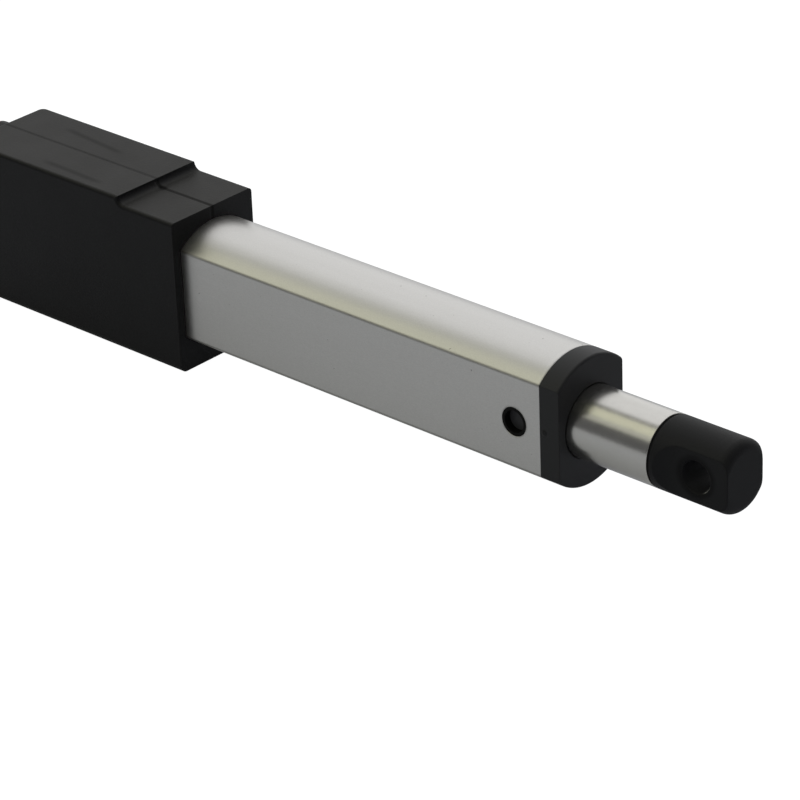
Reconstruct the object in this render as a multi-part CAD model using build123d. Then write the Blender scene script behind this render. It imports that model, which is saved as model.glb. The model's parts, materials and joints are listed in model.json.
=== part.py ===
from build123d import *
import math
import os

# Micro linear actuator, in millimetres. The origin is the centre of the rear
# mounting eye, +X runs along the rod to its eye, +Y is one side of the flat
# housing and +Z is up. The rod is modelled drawn in.

# Travel and the two mounting eyes
stroke = 50.0
eye_bore = 4.0
eye_width = 6.4
rear_eye_radius = 4.0

# Gearbox housing: two moulded shells that meet on the plane y = 0
housing_width = 14.0
housing_half_height = 10.0
housing_depth = 10.5
housing_start = 3.8
raised_height = 1.0
collar_length = 8.7
step_radius = 1.0
housing_wall = 1.2
outer_fillet = 0.5
lower_fillet = 1.0
rear_fillet = 1.0
lug_flare = 1.2
rib_thickness = 1.0

# Double-D tube: a round section with two flats
tube_diameter = 16.4
tube_flats = 11.44
tube_wall = 1.0
tube_visible_length = 57.9
tube_seat_length = 8.8
tube_hole_diameter = 3.7
tube_hole_inset = 3.9

# Front cap
cap_flange = 2.87
cap_sleeve_length = 7.0
cap_edge_radius = 0.3
cap_mouth_chamfer = 0.12
stud_wall = 0.4
stud_dish_depth = 0.9
wiper_height = 0.9
wiper_width = 1.2
wiper_setback = 1.2

# Rod and its eye end
rod_diameter = 9.0
rod_wall = 1.0
rod_visible_length = 11.7
rod_edge_chamfer = 0.05
eye_from_seam = 6.1
eye_to_tip = 4.5
tip_fillet = 1.2
tip_neck_depth = 0.25
tip_neck_length = 0.4
eye_edge_radius = 0.3
flat_start = 0.9
flat_runout_radius = 5.0
plug_length = 5.5

# Drive nut that slides in the tube
nut_length = 6.0
nut_rear_gap = 3.0
nut_spigot_length = 4.0

# Lead screw
screw_diameter = 4.0
screw_lead = 2.0
screw_tip_spare = 1.2
screw_tip_chamfer = 0.5
journal_diameter = 3.0
neck_diameter = 2.0
gear_seat_diameter = 1.6
pilot_diameter = 1.0

# Ball bearing that carries the screw
bearing_outer = 7.0
bearing_width = 2.0
bearing_race_wall = 0.6
ball_diameter = 1.1
ball_count = 7
ring_clip_thickness = 0.4
ring_clip_diameter = 4.6
ring_clip_opening = 1.0
bearing_front_web = 0.6
bearing_rear_web = 0.8
ball_sides = 10
groove_reach = 0.75
cage_thickness = 0.3
cage_rear_reach = 0.33
cage_setback = 0.2

# Spur gears: every mesh is one small gear driving one large gear
gear_module = 0.3
small_teeth = 8
large_teeth = 20
pressure_angle = 20.0
profile_shift = 0.5
small_tip_trim = 0.11
flank_relief = 0.04
flank_steps = 2
root_depth = 1.25
hub_inset = 0.2
gear_width = 1.4
gear_gap = 0.2
axle_diameter = 1.0

# Gearbox frame
plate_thickness = 0.8
plate_gap = 0.3
plate_width = 10.6
plate_margin = 0.75
pillar_diameter = 1.5
pillar_spread = 4.3
pillar_height = 2.0
low_pillar_spread = 3.3
low_pillar_inset = 1.1
plate_corner_radius = 1.2

# Direct current motor
motor_diameter = 12.0
motor_flats = 10.0
motor_rear_space = 2.9
motor_can_length = 11.0
motor_bell_length = 2.0
motor_can_wall = 0.7
motor_boss_diameter = 4.0
motor_boss_length = 0.7
motor_bush_diameter = 3.0
motor_shaft_diameter = 1.0
shaft_tail = 0.6
magnet_thickness = 1.3
magnet_span = 100.0
magnet_inset = 1.2
rotor_diameter = 7.0
rotor_length = 6.4
rotor_slots = 3
rotor_slot_width = 1.3
rotor_slot_depth = 1.7
winding_overhang = 0.7
winding_width = 2.2
winding_shaft_gap = 0.7
winding_rim_gap = 0.5
commutator_diameter = 3.0
commutator_length = 1.6
commutator_gap = 0.2
commutator_gap_depth = 0.3
terminal_spread = 3.2
terminal_width = 1.4
terminal_thickness = 0.3
terminal_length = 1.5
brush_width = 1.2
brush_length = 1.1
brush_height = 0.9
brush_spring = 0.2

# Position track and its sliding contact
board_width = 4.4
board_thickness = 0.6
board_gap = 0.3
board_inset = 0.2
chip_length = 1.6
chip_width = 0.8
chip_height = 0.35
chip_inset = 3.0
contact_thickness = 0.2
contact_width = 2.4
contact_length = 3.4
contact_tongue = 0.8
contact_seat = 0.2

# Screws that close the housing, and the cable outlet
screw_shank = 1.6
screw_length = 9.5
screw_head_diameter = 2.8
screw_head_height = 1.0
screw_head_inset = 0.2
boss_wall = 0.7
rear_boss_inset = 4.0
boss_height = 7.8
outlet_height = 8.0
outlet_neck_diameter = 3.0
outlet_flange_diameter = 4.2
outlet_flange_length = 1.0
outlet_cable_bore = 1.8
outlet_hood_diameter = 5.8
outlet_hood_length = 1.2

# Clearances
seat_clearance = 0.05
running_clearance = 0.04
press_clearance = 0.02
ball_clearance = 0.03

# Places along X: the motor, the gearbox and the bearing stack up from the rear
cavity_start = housing_start + housing_wall
bell_start = cavity_start + motor_rear_space
can_start = bell_start + motor_bell_length
plate_rear_start = can_start + motor_can_length
plate_rear_end = plate_rear_start + plate_thickness
layer_pitch = gear_width + gear_gap
layer_one = plate_rear_end + plate_gap
layer_two = layer_one + layer_pitch
layer_three = layer_two + layer_pitch
layer_four = layer_three + layer_pitch
plate_front_start = layer_four + gear_width + plate_gap
plate_front_end = plate_front_start + plate_thickness
bearing_web_start = plate_front_end + plate_gap
bearing_start = bearing_web_start + bearing_rear_web
bearing_end = bearing_start + bearing_width

# The tube starts in front of the bearing and carries everything up to the eye
tube_start = bearing_end + bearing_front_web
housing_end = tube_start + tube_seat_length
step_foot = housing_end - collar_length
tube_end = housing_end + tube_visible_length
cap_end = tube_end + cap_flange
sleeve_start = tube_end - cap_sleeve_length
seam = cap_end + rod_visible_length
rod_eye = seam + eye_from_seam
tip_end = rod_eye + eye_to_tip
nut_start = tube_start + nut_rear_gap
nut_end = nut_start + nut_length
screw_end = nut_end + stroke + screw_tip_spare
tube_hole_x = tube_end - tube_hole_inset

# Gear geometry
pitch_radius_small = gear_module * small_teeth / 2
pitch_radius_large = gear_module * large_teeth / 2
centre_distance = pitch_radius_small + pitch_radius_large
tip_radius_small = pitch_radius_small + gear_module * (1 + profile_shift) - small_tip_trim
tip_radius_large = pitch_radius_large + gear_module * (1 - profile_shift)
plate_low = -tip_radius_large - plate_margin
plate_high = centre_distance + tip_radius_large + plate_margin

# Rod and tube sections
tube_bore = tube_diameter - 2 * tube_wall
tube_bore_flats = tube_flats - 2 * tube_wall
rod_bore = rod_diameter - 2 * rod_wall
board_top = math.sqrt((tube_bore / 2) ** 2 - (board_width / 2) ** 2) - board_gap
board_height = board_top - board_thickness


def rod_x(radius, start, end, y=0.0, z=0.0):
    """A round bar along X."""
    place = Plane(origin=(start, y, z), x_dir=(0, 1, 0), z_dir=(1, 0, 0))
    return extrude(place * Circle(radius), amount=end - start)


def rod_y(radius, start, end, x=0.0, z=0.0):
    """A round bar along Y."""
    place = Plane(origin=(x, start, z), x_dir=(0, 0, 1), z_dir=(0, 1, 0))
    return extrude(place * Circle(radius), amount=end - start)


def block(x0, x1, y0, y1, z0, z1):
    """A box between two corners."""
    centre = ((x0 + x1) / 2, (y0 + y1) / 2, (z0 + z1) / 2)
    return Pos(*centre) * Box(x1 - x0, y1 - y0, z1 - z0)


def double_d(diameter, flats, start, end):
    """A round bar along X with two flats that face -Y and +Y."""
    bar = rod_x(diameter / 2, start, end)
    return bar & block(start, end, -flats / 2, flats / 2, -diameter, diameter)


def half_space(side):
    """Everything on one side of the parting plane y = 0."""
    reach = 4 * tip_end
    return Pos(0, side * reach / 2, 0) * Box(reach, reach, reach)


def side_face(points, width):
    """A solid whose X-Z outline is given, centred on y = 0."""
    outline = Plane.XZ * make_face(Polyline(*points, close=True))
    return extrude(outline, amount=width / 2, both=True)


def housing_block():
    """Outer form of both shells: raised rear, concave step and plain collar."""
    top = housing_half_height + raised_height
    low = -housing_depth
    corners = [(housing_end, low), (housing_end, housing_half_height), (step_foot, housing_half_height)]
    corners += [(step_foot, top), (housing_start, top), (housing_start, low)]
    body = side_face(corners, housing_width)
    body -= rod_y(step_radius, -housing_width, housing_width, step_foot, housing_half_height + step_radius)
    upright = body.edges().filter_by(Axis.Z).group_by(Axis.X)[0]
    body = fillet(upright, rear_fillet)
    lengthwise = body.edges().filter_by(Axis.X).filter_by(lambda edge: abs(edge.center().Y) > housing_width / 2 - 0.01)
    levels = lengthwise.group_by(Axis.Z)
    body = fillet(levels[0], lower_fillet)
    lengthwise = body.edges().filter_by(Axis.X).filter_by(lambda edge: abs(edge.center().Y) > housing_width / 2 - 0.01)
    return fillet(lengthwise.filter_by(lambda edge: edge.center().Z > 0), outer_fillet)


def rear_lug():
    """Rear eye, flared where it meets the housing."""
    flare = rear_eye_radius + lug_flare
    root = housing_start + housing_wall / 2
    web = side_face([(0, rear_eye_radius), (root, flare), (root, -flare), (0, -rear_eye_radius)], eye_width)
    return web + rod_y(rear_eye_radius, -eye_width / 2, eye_width / 2)


def screw_places():
    """X and Z of each housing screw."""
    rear = cavity_start + rear_boss_inset
    front = (bearing_web_start + tube_start) / 2
    return [(x, z) for x in (rear, front) for z in (boss_height, -boss_height)]


def cavity():
    """The space inside the shells, behind the tube."""
    inner = housing_width / 2 - housing_wall
    low = -housing_depth + housing_wall
    high = housing_half_height - housing_wall
    drop = step_foot - housing_wall - step_radius
    space = block(cavity_start, bearing_end, -inner, inner, low, high)
    return space + block(cavity_start, drop, -inner, inner, 0, high + raised_height)


def housing_inside():
    """Ribs, bearing cradle and screw bosses that stand in the cavity."""
    inner = housing_width / 2 - housing_wall / 2
    reach = housing_half_height + raised_height
    parts = []
    for x in (can_start + rib_thickness, plate_rear_start - 2 * rib_thickness):
        parts.append(block(x, x + rib_thickness, -inner, inner, -reach, reach))
    parts.append(block(bearing_web_start, bearing_start, -inner, inner, -reach, reach))
    parts.append(rod_x(bearing_outer / 2 + housing_wall, bearing_web_start, bearing_end))
    half = screw_shank / 2 + boss_wall
    for x, z in screw_places():
        parts.append(block(x - half, x + half, -inner, inner, z - half, z + half))
    return parts


def motor_space():
    """Room for the motor, the gears and the bearing inside ribs and bosses."""
    grow = 2 * seat_clearance
    room = double_d(motor_diameter + grow, motor_flats + grow, bell_start, plate_rear_start)
    side = plate_width / 2 + seat_clearance
    low = plate_low - seat_clearance
    high = plate_high + seat_clearance
    room += block(plate_rear_start, bearing_web_start, -side, side, low, high)
    room += rod_x(bearing_outer / 2 + seat_clearance, bearing_start, bearing_end)
    room += rod_x((bearing_outer - 2 * bearing_race_wall) / 2, bearing_web_start, tube_start)
    return room


def housing_shell(side):
    """One half of the housing. side is -1 or +1."""
    body = housing_block() - cavity()
    space = cavity()
    for part in housing_inside():
        body += part & space
    body -= motor_space()
    grow = 2 * seat_clearance
    body -= double_d(tube_diameter + grow, tube_flats + grow, tube_start, housing_end)
    body += rear_lug()
    hood = rod_x(outlet_hood_diameter / 2, housing_start - outlet_hood_length, cavity_start, 0, outlet_height)
    body += hood
    body -= rod_x(outlet_neck_diameter / 2 + press_clearance, 0, cavity_start, 0, outlet_height)
    rim = outlet_flange_diameter / 2 + press_clearance
    body -= rod_x(rim, 0, housing_start - outlet_hood_length + outlet_flange_length, 0, outlet_height)
    body -= rod_y(eye_bore / 2, -eye_width, eye_width)
    body = body & half_space(side)
    face = housing_width / 2
    head_floor = face - screw_head_inset - screw_head_height
    for x, z in screw_places():
        if side > 0:
            body -= rod_y(screw_shank / 2 + seat_clearance, 0, face, x, z)
            body -= rod_y(screw_head_diameter / 2 + seat_clearance, head_floor, face, x, z)
        else:
            depth = head_floor - screw_length - seat_clearance
            body -= rod_y(screw_shank / 2 + press_clearance, depth, 0, x, z)
    return body


def housing_screws():
    """Four self-tapping screws, their threads and recesses left plain."""
    face = housing_width / 2 - screw_head_inset
    floor = face - screw_head_height
    screws = []
    for x, z in screw_places():
        screw = rod_y(screw_shank / 2, floor - screw_length, floor, x, z)
        screw += rod_y(screw_head_diameter / 2, floor, face, x, z)
        screws.append(screw)
    return screws


def cable_grommet():
    """Rubber sleeve that lines the cable outlet."""
    start = housing_start - outlet_hood_length
    neck = rod_x(outlet_neck_diameter / 2, start, cavity_start, 0, outlet_height)
    rim = rod_x(outlet_flange_diameter / 2, start, start + outlet_flange_length, 0, outlet_height)
    return neck + rim - rod_x(outlet_cable_bore / 2, 0, cavity_start, 0, outlet_height)


def outer_tube():
    """Double-D tube with a round hole through both flats near its front."""
    tube = double_d(tube_diameter, tube_flats, tube_start, tube_end)
    tube -= double_d(tube_bore, tube_bore_flats, tube_start, tube_end)
    return tube - rod_y(tube_hole_diameter / 2, -tube_flats, tube_flats, tube_hole_x, 0)


def board_slot():
    """Slot in the cap sleeve that holds the track board."""
    half = board_width / 2 + seat_clearance
    low = board_height - seat_clearance
    high = board_top + seat_clearance
    depth = sleeve_start + cap_sleeve_length / 2
    return block(sleeve_start, depth, -half, half, low, high)


def front_cap():
    """Cap with a flange, a sleeve in the tube and dished studs in its holes."""
    flange = double_d(tube_diameter, tube_flats, tube_end, cap_end)
    front_arcs = flange.edges().filter_by(GeomType.CIRCLE).group_by(Axis.X)[-1]
    flange = fillet(front_arcs, cap_edge_radius)
    grow = 2 * seat_clearance
    sleeve = double_d(tube_bore - grow, tube_bore_flats - grow, sleeve_start, tube_end)
    cap = flange + sleeve
    stud_radius = tube_hole_diameter / 2 - press_clearance
    face = tube_flats / 2
    floor = face - stud_dish_depth
    bore = rod_diameter / 2 + running_clearance
    cap -= rod_x(bore, sleeve_start, cap_end)
    root = bore + seat_clearance
    for low, high, dish_low, dish_high in ((root, face, floor, face), (-face, -root, -face, -floor)):
        cap += rod_y(stud_radius, low, high, tube_hole_x, 0)
        cap -= rod_y(stud_radius - stud_wall, dish_low, dish_high, tube_hole_x, 0)
    mouth = [(cap_end, bore - seat_clearance), (cap_end, bore + cap_mouth_chamfer)]
    mouth.append((cap_end - cap_mouth_chamfer - seat_clearance, bore - seat_clearance))
    cap -= revolve(Plane.XZ * make_face(Polyline(*mouth, close=True)), Axis.X)
    groove_end = cap_end - wiper_setback
    cap -= rod_x(bore + wiper_height, groove_end - wiper_width, groove_end)
    return cap - board_slot()


def rod_wiper():
    """Lip ring in the cap that wipes the rod."""
    bore = rod_diameter / 2 + running_clearance
    end = cap_end - wiper_setback - press_clearance
    start = end - wiper_width + 2 * press_clearance
    ring = rod_x(bore + wiper_height - press_clearance, start, end)
    return ring - rod_x(rod_diameter / 2 + running_clearance / 2, start, end)


def involute_gear(teeth, shift, tip, start, bore, z, tooth_angle):
    """Spur gear along X whose first tooth points tooth_angle degrees from +Y towards +Z."""
    pressure = math.radians(pressure_angle)
    pitch = gear_module * teeth / 2
    base = pitch * math.cos(pressure)
    root = pitch + gear_module * (shift - root_depth)
    thickness = gear_module * (math.pi / 2 + 2 * shift * math.tan(pressure)) - 2 * flank_relief
    involute = math.tan(pressure) - pressure
    half_angle = thickness / (2 * pitch) + involute

    def flank_angle(radius):
        if radius <= base:
            return half_angle
        turn = math.acos(base / radius)
        return half_angle - (math.tan(turn) - turn)

    first = max(base, root)
    radii = [first + (tip - first) * step / flank_steps for step in range(flank_steps + 1)]
    if root < base:
        radii.insert(0, root)
    points = []
    for tooth in range(teeth):
        centre = math.radians(tooth_angle) + 2 * math.pi * tooth / teeth
        for radius in radii:
            angle = centre - flank_angle(radius)
            points.append((radius * math.cos(angle), radius * math.sin(angle)))
        for radius in reversed(radii):
            angle = centre + flank_angle(radius)
            points.append((radius * math.cos(angle), radius * math.sin(angle)))
    place = Plane(origin=(start, 0, z), x_dir=(0, 1, 0), z_dir=(1, 0, 0))
    gear = extrude(place * make_face(Polyline(*points, close=True)), amount=gear_width)
    return gear - rod_x(bore, start, start + gear_width, 0, z)


def large_gear(start, bore, z, facing):
    """Driven gear with the gap between two teeth on the side of the other shaft."""
    gap = 90.0 * facing + 180.0 / large_teeth
    return involute_gear(large_teeth, -profile_shift, tip_radius_large, start, bore, z, gap)


def small_gear(start, bore, z, facing):
    """Driving gear with a tooth on the side of the other shaft."""
    return involute_gear(small_teeth, profile_shift, tip_radius_small, start, bore, z, 90.0 * facing)


def compound_gear(start, bore, z, facing):
    """Large gear and small gear in one piece on the same shaft."""
    large = large_gear(start, bore, z, facing)
    hub = rod_x(pitch_radius_small - hub_inset, start + gear_width, start + layer_pitch, 0, z)
    hub -= rod_x(bore, start, start + layer_pitch, 0, z)
    return large + hub + small_gear(start + layer_pitch, bore, z, facing)


def gear_plate(start, centre_hole):
    """Flat plate that holds the gear shafts, with a centre hole and the hole of the fixed axle."""
    side = plate_width / 2
    plate = block(start, start + plate_thickness, -side, side, plate_low, plate_high)
    plate = fillet(plate.edges().filter_by(Axis.X), plate_corner_radius)
    plate -= rod_x(centre_hole, start, start + plate_thickness)
    plate -= rod_x(axle_diameter / 2 + press_clearance, start, start + plate_thickness, 0, centre_distance)
    return plate


def gear_pillars():
    """Distance pillars between the two plates."""
    places = [(-pillar_spread, pillar_height), (pillar_spread, pillar_height)]
    low = plate_low + low_pillar_inset
    places += [(-low_pillar_spread, low), (low_pillar_spread, low)]
    return [rod_x(pillar_diameter / 2, plate_rear_end, plate_front_start, y, z) for y, z in places]


def motor_can():
    """Drawn steel can, open at the rear, with a bearing boss in front."""
    can = double_d(motor_diameter, motor_flats, can_start, plate_rear_start)
    bore = motor_diameter - 2 * motor_can_wall
    flats = motor_flats - 2 * motor_can_wall
    can -= double_d(bore, flats, can_start, plate_rear_start - motor_can_wall)
    can += rod_x(motor_boss_diameter / 2, plate_rear_start, plate_rear_start + motor_boss_length)
    return can - rod_x(motor_bush_diameter / 2, can_start, plate_rear_start + motor_boss_length)


def motor_bushes():
    """Sintered bushes that carry the motor shaft at both ends."""
    front_start = plate_rear_start - motor_can_wall
    bushes = []
    for start, end in ((bell_start, can_start), (front_start, plate_rear_start + motor_boss_length)):
        bush = rod_x(motor_bush_diameter / 2 - press_clearance, start, end)
        bushes.append(bush - rod_x(motor_shaft_diameter / 2 + running_clearance, start, end))
    return bushes


def motor_end_bell():
    """Moulded bell that closes the can and holds the terminals."""
    bell = double_d(motor_diameter, motor_flats, bell_start, can_start)
    bell -= rod_x(motor_bush_diameter / 2, bell_start, can_start)
    for side in (-1, 1):
        bell -= terminal_slot(side, press_clearance)
    return bell


def terminal_slot(side, grow):
    """The blade of one motor terminal, from outside the bell to its inner face."""
    z = side * terminal_spread
    half = terminal_width / 2 + grow
    deep = terminal_thickness / 2 + grow
    return block(bell_start - terminal_length, can_start, -half, half, z - deep, z + deep)


def motor_brushes():
    """Carbon brushes on spring arms inside the can."""
    reach = commutator_diameter / 2 + running_clearance
    brushes = []
    for side in (-1, 1):
        inner = side * reach
        outer = side * (reach + brush_height)
        half = brush_width / 2
        arm = side * (terminal_spread + terminal_thickness / 2)
        carbon = block(can_start, can_start + brush_length, -half, half, min(inner, outer), max(inner, outer))
        spring = block(can_start, can_start + brush_spring, -half, half, min(outer, arm), max(outer, arm))
        brushes.append(carbon + spring)
    return brushes


def motor_magnets():
    """Two arc magnets against the round sides of the can."""
    outer = motor_diameter / 2 - motor_can_wall - press_clearance
    start = can_start + 2 * magnet_inset
    end = plate_rear_start - motor_can_wall - magnet_inset / 2
    ring = rod_x(outer, start, end) - rod_x(outer - magnet_thickness, start, end)
    low = (outer - magnet_thickness) * math.cos(math.radians(magnet_span / 2))
    half = motor_flats / 2 - motor_can_wall - press_clearance
    upper = ring & block(start, end, -half, half, low, outer)
    return [upper, Rot(180, 0, 0) * upper]


def rotor_core():
    """Slotted iron core of the rotor."""
    start = can_start + 2 * magnet_inset
    core = rod_x(rotor_diameter / 2, start, start + rotor_length)
    core -= rod_x(motor_shaft_diameter / 2 + press_clearance, start, start + rotor_length)
    for slot in range(rotor_slots):
        angle = 360.0 * slot / rotor_slots
        floor = rotor_diameter / 2 - rotor_slot_depth
        half = rotor_slot_width / 2
        cut = block(start, start + rotor_length, -half, half, floor, rotor_diameter)
        core -= Rot(angle, 0, 0) * cut
    return core


def rotor_windings():
    """Wound coil heads at both ends of the core, one pair on each pole."""
    start = can_start + 2 * magnet_inset
    coils = []
    half = winding_width / 2
    inner = motor_shaft_diameter / 2 + winding_shaft_gap
    outer = rotor_diameter / 2 - winding_rim_gap
    for pole in range(rotor_slots):
        angle = 360.0 * (pole + 0.5) / rotor_slots
        for x in (start - winding_overhang, start + rotor_length):
            head = block(x, x + winding_overhang, -half, half, inner, outer)
            coils.append(Rot(angle, 0, 0) * head)
    return coils


def commutator():
    """Copper commutator behind the core."""
    start = can_start
    end = start + commutator_length
    copper = rod_x(commutator_diameter / 2, start, end)
    copper -= rod_x(motor_shaft_diameter / 2 + press_clearance, start, end)
    half = commutator_gap / 2
    floor = commutator_diameter / 2 - commutator_gap_depth
    for slot in range(rotor_slots):
        gap = block(start, end, -half, half, floor, commutator_diameter)
        copper -= Rot(360.0 * (slot + 0.5) / rotor_slots, 0, 0) * gap
    return copper


def motor_shaft():
    """Steel shaft from behind the bell to the end of the first gear layer."""
    return rod_x(motor_shaft_diameter / 2, bell_start - shaft_tail, layer_one + gear_width)


def gear_axle():
    """Fixed axle above the motor shaft that carries two compound gears."""
    return rod_x(axle_diameter / 2, plate_rear_start, plate_front_end, 0, centre_distance)


def lead_screw():
    """Screw with bearing journal, neck, gear seat and the pilot for one gear."""
    screw = rod_x(screw_diameter / 2, bearing_end, screw_end)
    screw = chamfer(screw.edges().group_by(Axis.X)[-1], screw_tip_chamfer)
    screw += rod_x(journal_diameter / 2, bearing_start - ring_clip_thickness, bearing_end)
    screw += rod_x(neck_diameter / 2, layer_four + gear_width, bearing_start)
    screw += rod_x(gear_seat_diameter / 2, layer_four, layer_four + gear_width)
    return screw + rod_x(pilot_diameter / 2, layer_two, layer_four)


def screw_clip():
    """Spring ring behind the bearing that takes the pull of the rod."""
    start = bearing_start - ring_clip_thickness
    ring = rod_x(ring_clip_diameter / 2, start, bearing_start)
    ring -= rod_x(journal_diameter / 2 + press_clearance, start, bearing_start)
    half = ring_clip_opening / 2
    return ring - block(start, bearing_start, -half, half, 0, ring_clip_diameter)


def bearing_middle():
    """Plane of the ball centres."""
    return (bearing_start + bearing_end) / 2


def ball_path():
    """Radius of the circle on which the ball centres lie."""
    return (bearing_outer + journal_diameter) / 4


def bearing_ring(inner, outer):
    """A bearing ring with a V groove for the balls."""
    ring = rod_x(outer, bearing_start, bearing_end) - rod_x(inner, bearing_start, bearing_end)
    room = ball_diameter / 2 + ball_clearance
    half = groove_reach * room / math.sqrt(groove_reach ** 2 - room ** 2)
    middle = bearing_middle()
    path = ball_path()
    corners = [(middle - half, path), (middle, path + groove_reach), (middle + half, path), (middle, path - groove_reach)]
    groove = Plane.XZ * make_face(Polyline(*corners, close=True))
    return ring - revolve(groove, Axis.X)


def bearing_balls():
    """Steel balls, each with few flat sides to keep the facets low."""
    middle = bearing_middle()
    radius = ball_diameter / 2
    levels = [math.radians(angle) for angle in (-67.5, -22.5, 22.5, 67.5)]
    rings = []
    for level in levels:
        place = Plane(origin=(middle + radius * math.sin(level), 0, 0), x_dir=(0, 1, 0), z_dir=(1, 0, 0))
        rings.append(place * RegularPolygon(radius * math.cos(level), ball_sides))
    ball = Pos(0, ball_path(), 0) * loft(rings, ruled=True)
    return [Rot(360.0 * index / ball_count, 0, 0) * ball for index in range(ball_count)]


def bearing_cage():
    """Thin brass crown ring that spaces the balls."""
    middle = bearing_middle()
    inner = ball_path() - cage_thickness / 2
    outer = ball_path() + cage_thickness / 2
    start = middle - cage_rear_reach
    end = bearing_end - cage_setback
    ring = rod_x(outer, start, end) - rod_x(inner, start, end)
    half = ball_diameter / 2 + ball_clearance
    for index in range(ball_count):
        pocket = block(start, middle + half, inner - half, outer + half, -half, half)
        ring -= Rot(360.0 * index / ball_count, 0, 0) * pocket
    return ring


def drive_nut():
    """Nut with two flats that keep it from turning in the tube."""
    slide = 2 * running_clearance
    nut = double_d(tube_bore - slide, tube_bore_flats - slide, nut_start, nut_end)
    board = board_height - running_clearance - contact_thickness - contact_seat
    nut -= block(nut_start, nut_end, -tube_bore, tube_bore, board, tube_bore)
    nut += rod_x(rod_bore / 2 - press_clearance, nut_end, nut_end + nut_spigot_length)
    return nut - rod_x(screw_diameter / 2 + running_clearance, nut_start, nut_end + nut_spigot_length)


def rod_tube():
    """Hollow rod from the nut to the black eye end."""
    tube = rod_x(rod_diameter / 2, nut_end, seam) - rod_x(rod_bore / 2, nut_end, seam)
    front = tube.edges().filter_by(GeomType.CIRCLE).group_by(Axis.X)[-1].sort_by(SortBy.RADIUS)[-1]
    return chamfer(front, rod_edge_chamfer)


def rod_end():
    """Moulded eye end with two flats that run out before the rod."""
    body = rod_x(rod_diameter / 2, seam, tip_end)
    body = fillet(body.edges().group_by(Axis.X)[-1], tip_fillet)
    neck = rod_x(rod_diameter / 2, seam, seam + tip_neck_length)
    body -= neck - rod_x(rod_diameter / 2 - tip_neck_depth, seam, seam + tip_neck_length)
    half = eye_width / 2
    full = seam + flat_start + runout_length()
    for side in (-1, 1):
        cutter = block(full, tip_end + 1, min(side * half, side * rod_diameter), max(side * half, side * rod_diameter),
                       -rod_diameter, rod_diameter)
        centre_y = side * (half + flat_runout_radius)
        upright = Plane(origin=(full, centre_y, -rod_diameter), x_dir=(1, 0, 0), z_dir=(0, 0, 1))
        runout = extrude(upright * Circle(flat_runout_radius), amount=2 * rod_diameter)
        body -= cutter + runout
    body += rod_x(rod_bore / 2 - press_clearance, seam - plug_length, seam)
    body -= rod_y(eye_bore / 2, -rod_diameter, rod_diameter, rod_eye, 0)
    rims = body.edges().filter_by(GeomType.CIRCLE)
    rims = rims.filter_by(lambda edge: abs(edge.radius - eye_bore / 2) + abs(edge.arc_center.X - rod_eye) < 0.01)
    return fillet(rims, eye_edge_radius)


def runout_length():
    """How far the round ends of the flats reach towards the rod."""
    depth = rod_diameter / 2 - eye_width / 2
    return math.sqrt(flat_runout_radius ** 2 - (flat_runout_radius - depth) ** 2)


def track_board():
    """Circuit board along the top of the tube, from the tube's rear into the cap."""
    end = sleeve_start + cap_sleeve_length / 2 - seat_clearance
    half = board_width / 2
    return block(tube_start + board_inset, end, -half, half, board_height, board_top)


def board_chips():
    """Two small diodes on the upper face of the board."""
    half = chip_width / 2
    chips = []
    for x in (tube_start + chip_inset, sleeve_start - chip_inset):
        chips.append(block(x, x + chip_length, -half, half, board_top, board_top + chip_height))
    return chips


def sliding_contact():
    """Springy leaf on the nut that wipes the underside of the board."""
    top = board_height - running_clearance
    half = contact_width / 2
    end = nut_start + contact_length
    foot = top - contact_thickness - contact_seat
    leaf = block(nut_start, end, -half, half, foot, foot + contact_thickness)
    tongue = block(nut_start, nut_start + contact_tongue, -half, half, foot + contact_thickness, top)
    return leaf + tongue


pieces = {
    "housing_left": housing_shell(-1),
    "housing_right": housing_shell(1),
    "housing_screws": housing_screws(),
    "cable_grommet": cable_grommet(),
    "outer_tube": outer_tube(),
    "front_cap": front_cap(),
    "rod_wiper": rod_wiper(),
    "motor_can": motor_can(),
    "motor_end_bell": motor_end_bell(),
    "motor_bushes": motor_bushes(),
    "motor_terminals": [terminal_slot(-1, 0), terminal_slot(1, 0)],
    "motor_brushes": motor_brushes(),
    "motor_magnets": motor_magnets(),
    "motor_shaft": motor_shaft(),
    "rotor_core": rotor_core(),
    "rotor_windings": rotor_windings(),
    "commutator": commutator(),
    "motor_pinion": small_gear(layer_one, motor_shaft_diameter / 2 + press_clearance, 0, 1),
    "gear_plate_rear": gear_plate(plate_rear_start, motor_boss_diameter / 2 + press_clearance),
    "gear_plate_front": gear_plate(plate_front_start, neck_diameter / 2 + running_clearance),
    "gear_pillars": gear_pillars(),
    "gear_axle": gear_axle(),
    "first_gear": compound_gear(layer_one, axle_diameter / 2 + running_clearance, centre_distance, -1),
    "second_gear": compound_gear(layer_two, pilot_diameter / 2 + running_clearance, 0, 1),
    "third_gear": compound_gear(layer_three, axle_diameter / 2 + running_clearance, centre_distance, -1),
    "output_gear": large_gear(layer_four, gear_seat_diameter / 2 + press_clearance, 0, 1),
    "lead_screw": lead_screw(),
    "screw_clip": screw_clip(),
    "bearing_outer_ring": bearing_ring(bearing_outer / 2 - bearing_race_wall, bearing_outer / 2),
    "bearing_inner_ring": bearing_ring(journal_diameter / 2 + press_clearance, journal_diameter / 2 + bearing_race_wall),
    "bearing_balls": bearing_balls(),
    "bearing_cage": bearing_cage(),
    "drive_nut": drive_nut(),
    "rod_tube": rod_tube(),
    "rod_end": rod_end(),
    "track_board": track_board(),
    "board_chips": board_chips(),
    "sliding_contact": sliding_contact(),
}

os.makedirs("parts", exist_ok=True)
for name, shape in pieces.items():
    solids = shape if isinstance(shape, list) else [shape]
    bodies = [solid for item in solids for solid in item.solids()]
    result = bodies[0] if len(bodies) == 1 else Compound(children=bodies)
    export_step(result, f"parts/{name}.step")
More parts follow.
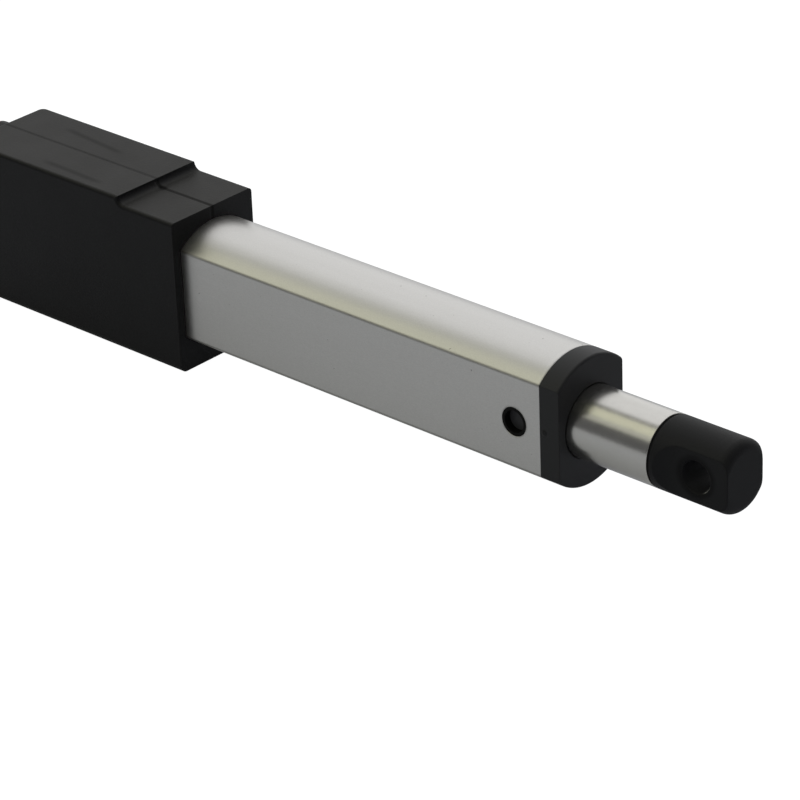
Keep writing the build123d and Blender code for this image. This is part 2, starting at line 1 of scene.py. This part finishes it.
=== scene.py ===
import bpy
import bmesh
import json
import math
from mathutils import Matrix, Vector


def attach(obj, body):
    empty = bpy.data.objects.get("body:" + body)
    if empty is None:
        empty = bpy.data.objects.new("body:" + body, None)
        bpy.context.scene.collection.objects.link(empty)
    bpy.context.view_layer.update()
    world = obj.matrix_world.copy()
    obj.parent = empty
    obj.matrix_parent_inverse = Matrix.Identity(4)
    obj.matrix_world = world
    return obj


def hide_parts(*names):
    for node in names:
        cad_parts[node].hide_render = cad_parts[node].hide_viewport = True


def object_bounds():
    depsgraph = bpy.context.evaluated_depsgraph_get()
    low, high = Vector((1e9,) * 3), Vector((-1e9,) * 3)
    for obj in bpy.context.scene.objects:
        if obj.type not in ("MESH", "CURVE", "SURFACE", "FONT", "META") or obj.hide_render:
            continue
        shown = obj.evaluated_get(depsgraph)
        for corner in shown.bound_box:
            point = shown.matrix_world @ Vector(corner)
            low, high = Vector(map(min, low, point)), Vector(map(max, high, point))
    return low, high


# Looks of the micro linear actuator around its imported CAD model. Lengths are
# metres, in the model's own frame: the rear eye at the origin, +X along the
# rod, +Y to the far side of the housing, +Z up.

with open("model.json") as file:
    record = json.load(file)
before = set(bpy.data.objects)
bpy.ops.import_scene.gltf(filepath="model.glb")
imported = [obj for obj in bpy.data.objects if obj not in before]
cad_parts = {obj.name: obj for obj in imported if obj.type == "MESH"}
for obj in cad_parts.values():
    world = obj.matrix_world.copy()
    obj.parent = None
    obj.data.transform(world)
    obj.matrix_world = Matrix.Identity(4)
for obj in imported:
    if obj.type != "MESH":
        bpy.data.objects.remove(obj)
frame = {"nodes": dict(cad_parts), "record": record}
cad_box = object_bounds()
mm = 0.001

# Camera, solved from the photograph's edges
camera_place = (352.53 * mm, -295.58 * mm, 204.73 * mm)
camera_turn = (62.4969, 2.0649, 42.3810)
camera_lens = 171.3
camera_sensor = 36.0

# Marks of the moulding and other places on the CAD model, in millimetres
step_foot_seam = (33.2, 0.0, 10.0)
stud_centre = (95.8, 0.0)
gate_mark = (100.35, 0.0)
tube_crease = (5.72, 5.875)
rod_eye_centre = (120.37, 0.0)
board_underside = 5.97
raised_top_fade = (10.6, 10.8)

# Sink lines on the raised top: a point of each (x, y), its slope, and where it fades in and out along X
sink_lines = (
    ((12.2, 3.8), -0.0935, (11.0, 13.5), (21.0, 24.0)),
    ((17.3, -4.9), -0.0286, (16.0, 18.5), (26.0, 28.5)),
)
sink_half_width = 0.7

# Lead screw, as (place along X, radius) behind and in front of its thread
screw_rear = ((23.6, 0.0), (23.6, 0.5), (26.8, 0.5), (26.8, 0.8), (28.2, 0.8), (28.2, 1.0))
screw_journal = ((30.0, 1.0), (30.0, 1.5), (32.4, 1.5), (32.4, 1.9), (32.5, 2.0), (33.2, 2.0), (33.6, 1.5))
screw_tip = ((92.7, 1.5), (93.1, 1.5), (93.2, 1.4), (93.2, 0.0))
screw_lead = 2.0
screw_profile = ((0.0, 1.5), (0.32, 1.5), (0.48, 2.0), (0.84, 2.0))
screw_sides = 24

# Housing screws, measured from the tip of each
housing_screw_places = [(x, z) for x in (9.0, 31.3) for z in (7.8, -7.8)]
housing_screw_tip_y = -3.7
housing_screw_tip = ((0.0, 0.0), (0.9, 0.52))
housing_screw_head = (
    (9.1, 0.52), (9.2, 0.8), (9.5, 0.8), (9.5, 1.4), (10.15, 1.4), (10.4, 1.25), (10.5, 1.0), (10.5, 0.0),
)
housing_screw_lead = 0.7
housing_screw_profile = ((0.0, 0.52), (0.5, 0.52), (0.7, 0.79), (0.8, 0.79))
recess_arm = 0.8
recess_half_width = 0.17
recess_depth = 0.6

# Bearing balls and rotor
ball_count = 7
ball_radius = 0.55
ball_path = 2.5
ball_plane = 31.4
pole_count = 3
core_start = 12.3
core_end = 18.7
wires_per_pole = 8
wire_radius = 0.11
wire_bend = 0.15
wire_layers = 2
wire_pitch = 0.38
layer_pitch = 0.24
slot_inner = 2.0
slot_middle_gap = 0.2
slot_rise = 0.5
slot_spread = 0.87
head_inner = 1.4
head_pitch = 0.4
head_half_width = 0.7


class Link:
    """An output socket that takes part in Python sums."""

    def __init__(self, finish, socket):
        self.finish = finish
        self.socket = socket

    def math(self, operation, *others):
        return self.finish.math(operation, self, *others)

    def __add__(self, other):
        return self.math("ADD", other)

    __radd__ = __add__

    def __sub__(self, other):
        return self.math("SUBTRACT", other)

    def __rsub__(self, other):
        return self.finish.math("SUBTRACT", other, self)

    def __mul__(self, other):
        return self.math("MULTIPLY", other)

    __rmul__ = __mul__

    def __truediv__(self, other):
        return self.math("DIVIDE", other)

    def __abs__(self):
        return self.math("ABSOLUTE")

    def step(self, low, high):
        """0 below low, 1 above high and a smooth rise between them."""
        settings = {"interpolation_type": "SMOOTHSTEP"}
        return self.finish.node("ShaderNodeMapRange", settings, {0: self, 1: low, 2: high})


class Finish:
    """A material and the nodes that make it."""

    def __init__(self, name):
        self.material = bpy.data.materials.new(name)
        self.material.use_nodes = True
        self.tree = self.material.node_tree
        self.tree.nodes.clear()
        self.output = self.tree.nodes.new("ShaderNodeOutputMaterial")

    def node(self, kind, settings=None, inputs=None, output=0):
        """Adds a node: its settings first, then the values or links of its sockets."""
        node = self.tree.nodes.new(kind)
        for name, value in (settings or {}).items():
            if name == "stops":
                self.stops(node.color_ramp, value)
            else:
                setattr(node, name, value)
        for key, value in (inputs or {}).items():
            if isinstance(value, Link):
                self.tree.links.new(value.socket, node.inputs[key])
            else:
                node.inputs[key].default_value = value
        return Link(self, node.outputs[output])

    def stops(self, ramp, stops):
        """Sets a colour ramp's stops."""
        while len(ramp.elements) < len(stops):
            ramp.elements.new(1.0)
        for element, (position, colour) in zip(ramp.elements, stops):
            element.position = position
            element.color = (*colour, 1)

    def math(self, operation, *values):
        return self.node("ShaderNodeMath", {"operation": operation}, dict(enumerate(values)))

    def place(self):
        """The object's own coordinates, in metres."""
        return self.node("ShaderNodeTexCoord", output=3)

    def axes(self):
        """The object's own X, Y and Z, in millimetres."""
        split = self.node("ShaderNodeSeparateXYZ", inputs={0: self.place()}).socket.node
        return [Link(self, socket) / mm for socket in split.outputs]

    def facing_up(self):
        """How far the object's surface faces +Z, from -1 to 1."""
        facing = self.node("ShaderNodeTexCoord", output=1)
        return self.node("ShaderNodeSeparateXYZ", inputs={0: facing}, output=2)

    def noise(self, size, detail=3.0, stretch=(1, 1, 1)):
        """Noise with features about size millimetres wide, drawn out by stretch."""
        scale = tuple(1 / (size * mm * part) for part in stretch)
        vector = self.node("ShaderNodeMapping", inputs={"Vector": self.place(), "Scale": scale})
        return self.node("ShaderNodeTexNoise", inputs={"Vector": vector, "Scale": 1.0, "Detail": detail})

    def distance(self, axes, point):
        """How far a place, in millimetres, lies from a point."""
        parts = [axis - value for axis, value in zip(axes, point)]
        return sum(part * part for part in parts).math("SQRT")

    def blend(self, factor, first, second):
        """A colour that goes from first to second."""
        inputs = {0: factor, 6: colour_of(first), 7: colour_of(second)}
        return self.node("ShaderNodeMix", {"data_type": "RGBA"}, inputs, output=2)

    def bump(self, height, depth, normal=None):
        """A normal raised by height, which is 0 to 1, by up to depth millimetres."""
        inputs = {"Height": height, "Distance": depth * mm, "Strength": 1.0}
        if normal:
            inputs["Normal"] = normal
        return self.node("ShaderNodeBump", inputs=inputs)

    def soft_edges(self, radius):
        """A normal that rounds the sharp edges by radius millimetres."""
        return self.node("ShaderNodeBevel", {"samples": 6}, {"Radius": radius * mm})

    def surface(self, colour, **inputs):
        """Ends the material with a principled shader."""
        names = {key.replace("_", " ").title().replace("Ior", "IOR"): value for key, value in inputs.items()}
        names["Base Color"] = colour_of(colour)
        shader = self.node("ShaderNodeBsdfPrincipled", inputs=names)
        self.tree.links.new(shader.socket, self.output.inputs["Surface"])
        return self.material


def colour_of(colour):
    """A colour as a socket takes it."""
    if isinstance(colour, Link):
        return colour
    return (*colour, 1)


# Finishes


def sink_line(x, y, point, slope, fade_in, fade_out):
    """1 on the middle of a faint line along X, 0 away from it."""
    aside = abs(y - point[1] - (x - point[0]) * slope)
    span = x.step(*fade_in) * (1 - x.step(*fade_out))
    return (1 - aside.step(0.0, sink_half_width)) * span


def housing_plastic():
    """Matt black moulded plastic with the parting line, faint sink lines darkened as painted shade, and
    painted light on the faces that look up.
    """
    finish = Finish("housing plastic")
    x, y, z = finish.axes()
    grain = finish.noise(0.24, detail=2.0)
    cloud = finish.noise(5.0)
    on_top = z.step(*raised_top_fade)
    seam = (1 - abs(y).step(0.08, 0.42)) * (1 - 0.6 * on_top)
    notch = 1 - finish.distance((x, y, z), step_foot_seam).step(0.2, 0.8)
    sinks = on_top * sum(sink_line(x, y, *line) for line in sink_lines)
    # Painted shade: the sink lines are real shallow dips, painted darker for the shade in them. The parting
    # line and the notch are dark marks, and all of them are rougher.
    marks = 0.75 * seam + notch + 0.3 * sinks
    normal = finish.bump(grain, 0.018, finish.soft_edges(0.1))
    normal = finish.bump(1 - seam - notch, 0.05, normal)
    colour = finish.blend(cloud, (0.0008, 0.0008, 0.0018), (0.0016, 0.0016, 0.0028))
    # Painted light: faces that look up get a lighter colour for the light that falls on them from above.
    painted_top_light = finish.blend(grain, (0.0075, 0.0072, 0.0065), (0.0125, 0.012, 0.011))
    colour = finish.blend(finish.facing_up().step(0.75, 0.98), colour, painted_top_light)
    colour = finish.blend(marks, colour, (0.001, 0.001, 0.001))
    roughness = 0.5 + 0.08 * cloud + 0.3 * marks
    return finish.surface(colour, roughness=roughness, normal=normal, specular_ior_level=0.29)


def cap_plastic():
    """Satin black plastic, painted dark as shade in the ring round each dished stud, with a gate mark on the
    near flat.
    """
    finish = Finish("cap plastic")
    x, y, z = finish.axes()
    grain = finish.noise(0.3, detail=2.0)
    cloud = finish.noise(2.5)
    from_stud = finish.distance((x, z), stud_centre)
    rim = from_stud.step(1.3, 1.42) * (1 - from_stud.step(1.9, 2.0))
    floor = (1 - from_stud.step(1.3, 1.42)) * (1 - abs(y).step(4.85, 4.95))
    gate = (1 - finish.distance((x, z), gate_mark).step(0.2, 0.5)) * (1 - y.step(-5.6, -5.5))
    normal = finish.bump(grain, 0.006, finish.soft_edges(0.15))
    normal = finish.bump(gate, 0.12, normal)
    colour = finish.blend(cloud, (0.027, 0.0275, 0.03), (0.033, 0.0335, 0.0365))
    # Painted shade: the ring round each stud is painted near black for the shade in its hollow.
    colour = finish.blend(rim, colour, (0.002, 0.002, 0.002))
    colour = finish.blend(floor, colour, (0.06, 0.06, 0.065))
    colour = finish.blend(0.6 * gate, colour, (0.005, 0.005, 0.005))
    roughness = 0.42 + 0.08 * cloud + 0.3 * rim
    return finish.surface(colour, roughness=roughness, normal=normal, specular_ior_level=0.2)


def eye_plastic():
    """Satin black plastic of the eye end, darker and rougher round the cross hole, with painted light on the
    wall inside it.
    """
    finish = Finish("eye end plastic")
    x, y, z = finish.axes()
    grain = finish.noise(0.3, detail=2.0)
    cloud = finish.noise(2.5)
    # Blotchy mask of the painted light on the cross hole's wall.
    painted_bore_light = finish.noise(1.6, detail=1.0).step(0.3, 0.55)
    from_eye = finish.distance((x, z), rod_eye_centre)
    rim = from_eye.step(2.0, 2.2) * (1 - from_eye.step(2.3, 3.1))
    bore = (1 - from_eye.step(2.02, 2.1)) * x.step(rod_eye_centre[0] + 0.6, rod_eye_centre[0] + 1.6)
    normal = finish.bump(grain, 0.006, finish.soft_edges(0.3))
    colour = finish.blend(cloud, (0.0195, 0.0198, 0.0215), (0.0225, 0.0228, 0.025))
    colour = finish.blend(0.4 * rim, colour, (0.002, 0.002, 0.002))
    # Painted light: a pale patch on the lower wall of the cross hole, where light comes through the hole.
    colour = finish.blend(bore * painted_bore_light, colour, (0.5, 0.5, 0.5))
    roughness = 0.46 + 0.08 * cloud + 0.2 * rim
    return finish.surface(colour, roughness=roughness, normal=normal, specular_ior_level=0.1)


def anodised_tube():
    """Satin anodised aluminium, drawn along X, with a fine speckle, a few dark specks and a painted dark
    reflection along each crease.
    """
    finish = Finish("satin anodised aluminium")
    x, y, z = finish.axes()
    painted_crease_reflection = 1 - finish.distance((abs(y), abs(z)), tube_crease).step(0.05, 0.3)
    speckle = finish.noise(0.09, detail=2.0, stretch=(2.2, 1, 1))
    streak = finish.noise(0.5, detail=3.0, stretch=(40, 1, 1))
    specks = finish.noise(0.4, detail=0.0).step(0.87, 0.9)
    colour = finish.blend(speckle, (0.56, 0.555, 0.545), (0.72, 0.712, 0.695))
    colour = finish.blend(0.25 * streak, colour, (0.62, 0.61, 0.585))
    colour = finish.blend(0.7 * specks, colour, (0.2, 0.19, 0.18))
    # Painted reflection: a dark olive line along each crease between the flats and the round.
    colour = finish.blend(0.45 * painted_crease_reflection, colour, (0.16, 0.155, 0.13))
    normal = finish.bump(speckle, 0.005, finish.soft_edges(0.45))
    roughness = 0.33 + 0.08 * streak
    return finish.surface(colour, metallic=1.0, roughness=roughness, normal=normal)


def ground_rod():
    """Ground steel of the rod, blotchy and finely speckled."""
    finish = Finish("ground rod")
    speckle = finish.noise(0.14, detail=3.0, stretch=(1.6, 1, 1))
    blotch = finish.noise(0.9)
    colour = finish.blend(0.5 * speckle + 0.5 * blotch, (0.53, 0.52, 0.5), (0.7, 0.69, 0.66))
    normal = finish.bump(speckle, 0.0033, finish.soft_edges(0.06))
    roughness = 0.2 + 0.07 * blotch
    return finish.surface(colour, metallic=1.0, roughness=roughness, normal=normal)


def turned_metal(name, light, dark, roughness, groove=0.08, stretch=(0.6, 30, 30)):
    """Metal with fine turning or drawing marks."""
    finish = Finish(name)
    marks = finish.noise(groove, detail=2.0, stretch=stretch)
    cloud = finish.noise(2.0)
    colour = finish.blend(0.5 * marks + 0.5 * cloud, dark, light)
    normal = finish.bump(marks, 0.002, finish.soft_edges(0.06))
    return finish.surface(colour, metallic=1.0, roughness=roughness + 0.1 * marks, normal=normal)


def plain_plastic(name, light, dark, roughness, speck=0.4):
    """Moulded plastic, rubber or lacquer with a faint cloud of colour."""
    finish = Finish(name)
    cloud = finish.noise(speck)
    normal = finish.bump(cloud, 0.004, finish.soft_edges(0.05))
    return finish.surface(finish.blend(cloud, dark, light), roughness=roughness + 0.08 * cloud, normal=normal)


def track_board():
    """Green solder mask with two printed carbon tracks and a tinned one underneath."""
    finish = Finish("solder mask")
    x, y, z = finish.axes()
    cloud = finish.noise(0.4)
    below = 1 - z.step(board_underside, board_underside + 0.1)
    carbon = below * (1 - abs(abs(y) - 0.9).step(0.28, 0.32))
    tinned = below * (1 - abs(y).step(0.28, 0.32))
    colour = finish.blend(cloud, (0.012, 0.13, 0.045), (0.02, 0.2, 0.07))
    colour = finish.blend(carbon, colour, (0.02, 0.02, 0.02))
    colour = finish.blend(tinned, colour, (0.75, 0.74, 0.72))
    normal = finish.bump(carbon + tinned, 0.03, finish.soft_edges(0.05))
    roughness = 0.3 + 0.2 * carbon
    return finish.surface(colour, metallic=tinned, roughness=roughness, normal=normal)


finishes = {
    "housing_plastic": housing_plastic(),
    "cap_plastic": cap_plastic(),
    "eye_plastic": eye_plastic(),
    "tube_aluminium": anodised_tube(),
    "rod_metal": ground_rod(),
    "screw_black": turned_metal("black oxide steel", (0.07, 0.07, 0.075), (0.04, 0.04, 0.045), 0.4),
    "seal_rubber": plain_plastic("seal rubber", (0.03, 0.03, 0.03), (0.018, 0.018, 0.018), 0.75),
    "motor_steel": turned_metal("drawn motor steel", (0.66, 0.65, 0.63), (0.54, 0.53, 0.51), 0.28),
    "bell_plastic": plain_plastic("bell plastic", (0.84, 0.81, 0.73), (0.77, 0.73, 0.64), 0.4),
    "bush_bronze": turned_metal("sintered bronze", (0.58, 0.4, 0.24), (0.42, 0.28, 0.16), 0.45),
    "terminal_tin": turned_metal("tinned blade", (0.8, 0.79, 0.76), (0.68, 0.66, 0.63), 0.3),
    "carbon": plain_plastic("pressed carbon", (0.06, 0.06, 0.06), (0.03, 0.03, 0.03), 0.6, 0.2),
    "magnet_ferrite": plain_plastic("ground ferrite", (0.11, 0.11, 0.115), (0.07, 0.07, 0.075), 0.55),
    "shaft_steel": turned_metal("ground shaft steel", (0.8, 0.8, 0.8), (0.7, 0.7, 0.7), 0.16),
    "core_iron": turned_metal(
        "stacked iron sheets", (0.46, 0.45, 0.44), (0.24, 0.23, 0.23), 0.42, 0.3, (1, 60, 60)),
    "winding_copper": turned_metal(
        "enamelled copper wire", (0.8, 0.36, 0.16), (0.5, 0.18, 0.07), 0.25, 0.14, (1, 1, 30)),
    "contact_copper": turned_metal("turned copper", (0.88, 0.5, 0.32), (0.72, 0.36, 0.2), 0.25),
    "gear_brass": turned_metal("hobbed brass", (0.84, 0.66, 0.33), (0.7, 0.5, 0.22), 0.26),
    "plate_brass": turned_metal(
        "stamped brass", (0.8, 0.64, 0.36), (0.68, 0.52, 0.27), 0.34, 0.2, (30, 1, 30)),
    "screw_steel": turned_metal("rolled screw steel", (0.66, 0.65, 0.64), (0.5, 0.49, 0.48), 0.24),
    "bearing_steel": turned_metal("polished bearing steel", (0.84, 0.84, 0.84), (0.76, 0.76, 0.76), 0.12),
    "nut_plastic": plain_plastic("natural nut plastic", (0.86, 0.84, 0.78), (0.8, 0.77, 0.7), 0.42),
    "board_green": track_board(),
    "chip_black": plain_plastic("chip body", (0.03, 0.03, 0.03), (0.02, 0.02, 0.02), 0.4),
    "spring_bronze": turned_metal("rolled spring bronze", (0.8, 0.56, 0.3), (0.66, 0.43, 0.2), 0.28),
}

for row in frame["record"]["subparts"]:
    for material_slot in frame["nodes"][row["node"]].material_slots:
        material_slot.material = finishes[row["material_slot"]]


# Pieces that stand for plainer CAD nodes


def turned_surface(rings, sides):
    """Points and faces of a surface turned about X, from (place, radius) rings."""
    points = []
    for x, radius in rings:
        for side in range(sides):
            angle = 2 * math.pi * side / sides
            points.append((x, radius * math.cos(angle), radius * math.sin(angle)))
    faces = []
    for row in range(len(rings) - 1):
        for side in range(sides):
            here = row * sides + side
            beside = row * sides + (side + 1) % sides
            faces.append((here, beside, beside + sides, here + sides))
    return points, faces


def thread_surface(start, end, lead, profile, sides):
    """Points and faces of a right-hand thread about X, cut flat at both ends.

    The profile lists (share of the lead, radius), the root first, and its rows follow the helix."""
    rows = len(profile)
    turns = math.ceil((end - start) / lead) + 1
    root = profile[0][1]
    points = []
    for row in range(-rows, rows * turns):
        share, radius = profile[row % rows]
        for side in range(sides):
            x = start + lead * (row // rows + share + side / sides)
            cut = min(max(x, start), end)
            here = radius if cut == x else root
            angle = 2 * math.pi * side / sides
            points.append((cut, here * math.cos(angle), here * math.sin(angle)))
    faces = []
    for row in range(rows * turns):
        for side in range(sides):
            here = row * sides + side
            beside = here + 1 if side + 1 < sides else (row + rows) * sides
            if beside + sides < len(points):
                faces.append((here, beside, beside + sides, here + sides))
    return points, faces


def joined(*surfaces):
    """A bmesh in millimetres of several surfaces, welded where they meet."""
    shape = bmesh.new()
    for points, faces in surfaces:
        corners = [shape.verts.new(point) for point in points]
        for face in faces:
            shape.faces.new([corners[index] for index in face])
    bmesh.ops.remove_doubles(shape, verts=shape.verts, dist=0.001)
    bmesh.ops.dissolve_degenerate(shape, dist=0.001, edges=shape.edges)
    bmesh.ops.recalc_face_normals(shape, faces=shape.faces)
    return shape


def finished_piece(name, shape, body, node, slot):
    """Makes a piece of a bmesh in millimetres that rides a body and stands for a CAD node."""
    for edge in shape.edges:
        edge.smooth = edge.calc_face_angle(0.0) < math.radians(35)
    for face in shape.faces:
        face.smooth = True
    bmesh.ops.scale(shape, vec=(mm, mm, mm), verts=shape.verts)
    mesh = bpy.data.meshes.new(name)
    shape.to_mesh(mesh)
    shape.free()
    mesh.materials.append(finishes[slot])
    piece = bpy.data.objects.new(name, mesh)
    bpy.context.scene.collection.objects.link(piece)
    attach(piece, body)
    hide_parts(node)


def threaded_lead_screw():
    """Lead screw with its rolled thread, journal, neck, gear seat and pilot."""
    rear = turned_surface(screw_rear + screw_journal, screw_sides)
    start, end = screw_journal[-1][0], screw_tip[0][0]
    thread = thread_surface(start, end, screw_lead, screw_profile, screw_sides)
    tip = turned_surface(screw_tip, screw_sides)
    finished_piece("threaded_lead_screw", joined(rear, thread, tip), "screw", "lead_screw", "screw_steel")


def recessed_housing_screws():
    """Four self-tapping screws with a thread and a cross recess, heads to the far side."""
    sides = 20
    start, end = housing_screw_tip[-1][0], housing_screw_head[0][0]
    tip = turned_surface(housing_screw_tip, sides)
    thread = thread_surface(start, end, housing_screw_lead, housing_screw_profile, sides)
    head = turned_surface(housing_screw_head, sides)
    whole = bmesh.new()
    cutters = bmesh.new()
    for x, z in housing_screw_places:
        place = Matrix.Translation((x, housing_screw_tip_y, z)) @ Matrix.Rotation(math.radians(90), 4, "Z")
        add_to(whole, joined(tip, thread, head), place)
        add_to(cutters, cross_cutter(housing_screw_head[-1][0]), place)
    cut = cut_away(whole, cutters)
    finished_piece("recessed_housing_screws", cut, "housing", "housing_screws", "screw_black")


def cross_cutter(top):
    """A cross that tapers down from the top of a screw head."""
    shape = bmesh.new()
    for turn in (0, 90):
        arm = bmesh.ops.create_cube(shape, size=1.0)["verts"]
        for corner in arm:
            high = corner.co.x > 0
            taper = 1.0 if high else 0.55
            corner.co.x = top + (0.2 if high else -recess_depth)
            corner.co.y *= 2 * recess_arm * taper
            corner.co.z *= 2 * recess_half_width * taper
        bmesh.ops.rotate(shape, verts=arm, matrix=Matrix.Rotation(math.radians(turn + 20), 3, "X"))
    return shape


def add_to(whole, part, place):
    """Adds a bmesh to another one, at a place."""
    part.transform(place)
    mesh = bpy.data.meshes.new("part")
    part.to_mesh(mesh)
    part.free()
    whole.from_mesh(mesh)
    bpy.data.meshes.remove(mesh)


def cut_away(whole, cutters):
    """The first bmesh less the second, by a Boolean modifier."""
    made = []
    for name, shape in (("whole", whole), ("cutters", cutters)):
        mesh = bpy.data.meshes.new(name)
        shape.to_mesh(mesh)
        shape.free()
        made.append(bpy.data.objects.new(name, mesh))
        bpy.context.scene.collection.objects.link(made[-1])
    modifier = made[0].modifiers.new("recess", "BOOLEAN")
    modifier.object = made[1]
    modifier.solver = "EXACT"
    modifier.use_self = True
    bpy.context.view_layer.update()
    shaped = made[0].evaluated_get(bpy.context.evaluated_depsgraph_get())
    result = bmesh.new()
    result.from_mesh(shaped.to_mesh())
    for thing in made:
        bpy.data.objects.remove(thing)
    return result


def polished_balls():
    """Round balls of the screw's bearing."""
    shape = bmesh.new()
    for index in range(ball_count):
        angle = 2 * math.pi * index / ball_count
        centre = (ball_plane, ball_path * math.cos(angle), ball_path * math.sin(angle))
        place = Matrix.Translation(centre)
        bmesh.ops.create_icosphere(shape, subdivisions=3, radius=ball_radius, matrix=place)
    finished_piece("polished_balls", shape, "ball_set", "bearing_balls", "bearing_steel")


def wound_coils():
    """Enamelled wire wound round each pole of the rotor, through the slots on both sides of it."""
    curve = bpy.data.curves.new("wire", "CURVE")
    curve.dimensions = "3D"
    curve.bevel_depth = wire_radius
    curve.bevel_resolution = 1
    for pole in range(pole_count):
        turn = Matrix.Rotation(2 * math.pi * (pole + 0.5) / pole_count, 3, "X")
        for wire in range(wires_per_pole):
            layer, step = wire % wire_layers, wire // wire_layers
            along = slot_inner + wire_pitch * step
            aside = slot_middle_gap + layer_pitch * layer
            low = slot_rise * along + slot_spread * aside
            out = slot_spread * along - slot_rise * aside
            high = head_inner + head_pitch * step + 0.1 * layer
            half = [(core_start - aside, head_half_width, high)]
            for end in (core_start, core_end):
                half += [(end - wire_bend, out, low), (end + wire_bend, out, low)]
            half.append((core_end + aside, head_half_width, high))
            loop = half + [(x, -y, z) for x, y, z in reversed(half)]
            spline = curve.splines.new("NURBS")
            spline.points.add(len(loop) - 1)
            for point, place in zip(spline.points, loop):
                point.co = (*(turn @ Vector(place)), 1.0)
            spline.order_u = 3
            spline.use_cyclic_u = True
            spline.resolution_u = 4
    holder = bpy.data.objects.new("wire", curve)
    shape = bmesh.new()
    shape.from_mesh(holder.to_mesh())
    bpy.data.objects.remove(holder)
    finished_piece("wound_coils", shape, "rotor", "rotor_windings", "winding_copper")


threaded_lead_screw()
recessed_housing_screws()
polished_balls()
wound_coils()


# Studio

floor_size = 6.0
softbox_length = 4.0
softbox_x = -1.4
floor_gap = 0.02
floor_height = cad_box[0][2] - floor_gap * mm
floor_colour = (0.6, 0.62, 0.68, 1)
floor_glow = 1.32
world_level = 0.12


def studio_floor():
    """Pale floor, white to the camera, that can be looked through from below."""
    mesh = bpy.data.meshes.new("studio floor")
    half = floor_size / 2
    corners = [(-half, -half), (half, -half), (half, half), (-half, half)]
    mesh.from_pydata([(x, y, floor_height) for x, y in corners], [], [(0, 1, 2, 3)])
    floor = bpy.data.objects.new("studio_floor", mesh)
    bpy.context.scene.collection.objects.link(floor)
    finish = Finish("pale floor")
    diffuse = finish.node("ShaderNodeBsdfDiffuse", inputs={"Color": floor_colour})
    glow = finish.node("ShaderNodeEmission", inputs={"Color": (1, 1, 1, 1), "Strength": floor_glow})
    clear = finish.node("ShaderNodeBsdfTransparent")
    path = finish.node("ShaderNodeLightPath").socket.node
    by_camera = Link(finish, path.outputs["Is Camera Ray"])
    by_gloss = Link(finish, path.outputs["Is Glossy Ray"])
    through_glass = Link(finish, path.outputs["Is Transmission Ray"])
    seen = 0.75 * by_camera + 0.1 * by_gloss + 0.75 * through_glass
    front = finish.node("ShaderNodeMixShader", inputs={0: seen, 1: diffuse, 2: glow})
    back = finish.node("ShaderNodeNewGeometry", output=6)
    both = finish.node("ShaderNodeMixShader", inputs={0: back, 1: front, 2: clear})
    finish.tree.links.new(both.socket, finish.output.inputs["Surface"])
    mesh.materials.append(finish.material)


def studio_world():
    """Soft even light all round, white where the camera sees it."""
    world = bpy.data.worlds.new("soft studio")
    bpy.context.scene.world = world
    world.use_nodes = True
    tree = world.node_tree
    tree.nodes.clear()
    output = tree.nodes.new("ShaderNodeOutputWorld")
    light = tree.nodes.new("ShaderNodeBackground")
    light.inputs["Color"].default_value = (1, 1, 1, 1)
    light.inputs["Strength"].default_value = world_level
    white = tree.nodes.new("ShaderNodeBackground")
    white.inputs["Strength"].default_value = 1.0
    white.inputs["Color"].default_value = (1, 1, 1, 1)
    path = tree.nodes.new("ShaderNodeLightPath")
    mix = tree.nodes.new("ShaderNodeMixShader")
    tree.links.new(path.outputs["Is Camera Ray"], mix.inputs[0])
    tree.links.new(light.outputs[0], mix.inputs[1])
    tree.links.new(white.outputs[0], mix.inputs[2])
    tree.links.new(mix.outputs[0], output.inputs["Surface"])


def softbox(name, place, target, height, level, colour=(1, 1, 1)):
    """A long rectangular lamp that faces the target and shines at a plain level."""
    lamp = bpy.data.lights.new(name, "AREA")
    lamp.shape = "RECTANGLE"
    lamp.size = softbox_length
    lamp.size_y = height
    lamp.energy = level * math.pi * softbox_length * height
    lamp.color = colour
    lamp_object = bpy.data.objects.new(name, lamp)
    bpy.context.scene.collection.objects.link(lamp_object)
    lamp_object.location = place
    aim = Vector(target) - Vector(place)
    lamp_object.rotation_euler = aim.to_track_quat("-Z", "Y").to_euler()


def studio_camera():
    """The camera at the photograph's place."""
    camera = bpy.data.cameras.new("photo camera")
    camera.lens = camera_lens
    camera.sensor_width = camera_sensor
    camera.clip_start = 0.01
    camera_object = bpy.data.objects.new("photo_camera", camera)
    bpy.context.scene.collection.objects.link(camera_object)
    camera_object.location = camera_place
    camera_object.rotation_euler = [math.radians(angle) for angle in camera_turn]
    bpy.context.scene.camera = camera_object


studio_floor()
studio_world()
softbox("back softbox", (softbox_x, 1.3, 0.65), (softbox_x, 0.0, 0.65), 1.3, 0.85)
softbox("top softbox", (softbox_x, 0.66, 1.3), (softbox_x, 0.66, 0.0), 1.25, 0.85)
softbox("window", (softbox_x, -0.65, 1.3), (softbox_x, -0.65, 0.0), 0.74, 0.72, (1.0, 1.0, 0.74))
softbox("middle softbox", (softbox_x, -0.12, 1.3), (softbox_x, -0.12, 0.0), 0.32, 0.2, (1.0, 0.99, 0.9))
softbox("front softbox", (softbox_x, -1.3, 1.31), (softbox_x, 0.0, 1.31), 0.68, 0.48, (1.0, 1.0, 0.84))
studio_camera()
bpy.context.scene.view_settings.view_transform = "Standard"
